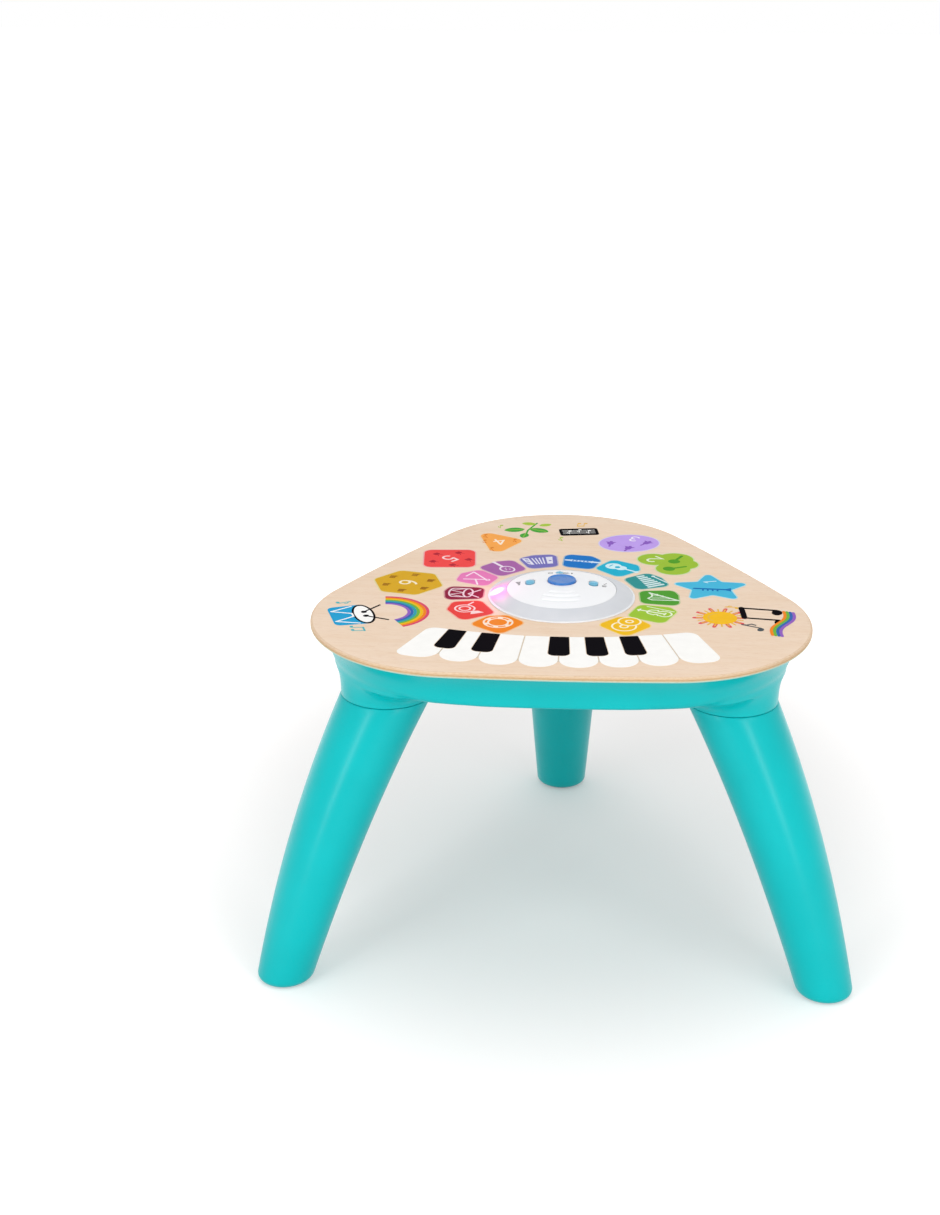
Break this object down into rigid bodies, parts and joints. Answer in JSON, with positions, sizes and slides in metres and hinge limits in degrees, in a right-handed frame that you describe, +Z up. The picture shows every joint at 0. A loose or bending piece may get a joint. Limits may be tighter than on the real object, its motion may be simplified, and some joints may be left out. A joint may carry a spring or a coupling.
{
  "type": "piano activity table",
  "caption": "Low three-legged activity table: plywood top with a printed touch piano, instrument pads, number pads, and a domed sound module in a light ring.",
  "frame": {"origin": "on the floor, below the middle of the table's box", "axes": "+X to the right of a child who faces the keys, +Y away from the child, +Z up"},
  "size_m": [0.5302, 0.4865, 0.3324],
  "materials": {
    "plywood": "clear satin lacquer on birch plywood",
    "turquoise_plastic": "satin moulded",
    "pad_rubber": "matt",
    "frosted_plastic": "frosted, lets light through",
    "white_plastic": "gloss",
    "blue_plastic": "gloss",
    "light_blue_plastic": "satin",
    "grey_rubber": "matt",
    "dark_plastic": "matt",
    "grey_plastic": "matt",
    "board_green": "solder mask",
    "led_resin": "clear resin",
    "steel": "zinc plated",
    "ferrite": "sintered",
    "cone_paper": "pressed paper",
    "cell_jacket": "printed sleeve",
    "lead_red": "smooth",
    "lead_black": "smooth",
    "film": "thin film",
    "key_white": "satin ink",
    "key_black": "satin ink",
    "print_sky": "satin ink",
    "print_leaf": "satin ink",
    "print_lilac": "satin ink",
    "print_apricot": "satin ink",
    "print_coral": "satin ink",
    "print_mustard": "satin ink",
    "print_yellow": "satin ink",
    "print_lime": "satin ink",
    "print_green": "satin ink",
    "print_teal": "satin ink",
    "print_cyan": "satin ink",
    "print_blue": "satin ink",
    "print_orange": "satin ink",
    "print_red": "satin ink",
    "print_maroon": "satin ink",
    "print_pink": "satin ink",
    "print_purple": "satin ink",
    "print_violet": "satin ink"
  },
  "bodies": {
    "table": {"top_panel": "plywood", "base_shell": "turquoise_plastic", "light_ring": "frosted_plastic", "dome_cap": "white_plastic", "button_return_dome": "grey_rubber", "slide_switches": "dark_plastic", "module_carrier": "grey_plastic", "battery_box": "grey_plastic", "led_board": "board_green", "control_board": "board_green", "main_board": "board_green", "leds": "led_resin", "board_parts": "dark_plastic", "speaker_basket": "steel", "speaker_magnet": "ferrite", "speaker_cone": "cone_paper", "batteries": "cell_jacket", "battery_contacts": "steel", "wood_screws": "steel", "module_screws": "steel", "battery_leads": "lead_red", "speaker_leads": "lead_black", "sensor_sheet": "film", "sensor_ribbon": "film", "white_keys": "key_white", "black_keys": "key_black", "number_one_star": "print_sky", "number_two_clover": "print_leaf", "number_three_oval": "print_lilac", "number_four_triangle": "print_apricot", "number_five_square": "print_coral", "number_six_hexagon": "print_mustard", "pad_yellow": "print_yellow", "pad_lime": "print_lime", "pad_green": "print_green", "pad_teal": "print_teal", "pad_cyan": "print_cyan", "pad_blue": "print_blue", "pad_orange": "print_orange", "pad_red": "print_red", "pad_maroon": "print_maroon", "pad_pink": "print_pink", "pad_purple": "print_purple", "pad_violet": "print_violet"},
    "play_button": {"play_button": "blue_plastic"},
    "volume_slider": {"volume_slider": "light_blue_plastic", "volume_stem": "dark_plastic"},
    "mode_slider": {"mode_slider": "light_blue_plastic", "mode_stem": "dark_plastic"},
    "power_slider": {"power_slider": "light_blue_plastic", "power_stem": "dark_plastic"},
    "battery_door": {"battery_door": "turquoise_plastic"},
    "door_screw_left": {"door_screw_left": "steel"},
    "door_screw_right": {"door_screw_right": "steel"},
    "leg_left": {"leg_left": "turquoise_plastic", "foot_pad_left": "pad_rubber"},
    "leg_right": {"leg_right": "turquoise_plastic", "foot_pad_right": "pad_rubber"},
    "leg_back": {"leg_back": "turquoise_plastic", "foot_pad_back": "pad_rubber"}
  },
  "joints": [
    {"name": "button_press", "type": "slide", "parent": "table", "child": "play_button", "axis": [0, 0, -1], "range_m": [0, 0.0018], "stiffness_N_per_m": 900, "springref_m": -0.0006, "deforming": ["button_return_dome"]},
    {"name": "volume_slide", "type": "slide", "parent": "table", "child": "volume_slider", "axis": [0, 1, 0], "range_m": [-0.002, 0.002]},
    {"name": "mode_slide", "type": "slide", "parent": "table", "child": "mode_slider", "axis": [0, 1, 0], "range_m": [-0.002, 0.002]},
    {"name": "power_slide", "type": "slide", "parent": "table", "child": "power_slider", "axis": [1, 0, 0], "range_m": [0, 0.005]},
    {"name": "leg_left_pull", "type": "slide", "parent": "table", "child": "leg_left", "axis": [0, 0, -1], "range_m": [0, 0.034]},
    {"name": "leg_right_pull", "type": "slide", "parent": "table", "child": "leg_right", "axis": [0, 0, -1], "range_m": [0, 0.034]},
    {"name": "leg_back_pull", "type": "slide", "parent": "table", "child": "leg_back", "axis": [0, 0, -1], "range_m": [0, 0.034]},
    {"name": "battery_door_lift", "type": "slide", "parent": "table", "child": "battery_door", "axis": [0, 0, -1], "range_m": [0, 0.02]},
    {"name": "door_screw_left_turn", "type": "hinge", "parent": "battery_door", "child": "door_screw_left", "pos_m": [-0.0349, -0.15399, 0.28], "axis": [0, 0, -1], "range_deg": [0, 720]},
    {"name": "door_screw_right_turn", "type": "hinge", "parent": "battery_door", "child": "door_screw_right", "pos_m": [0.0349, -0.15399, 0.28], "axis": [0, 0, -1], "range_deg": [0, 720]}
  ]
}
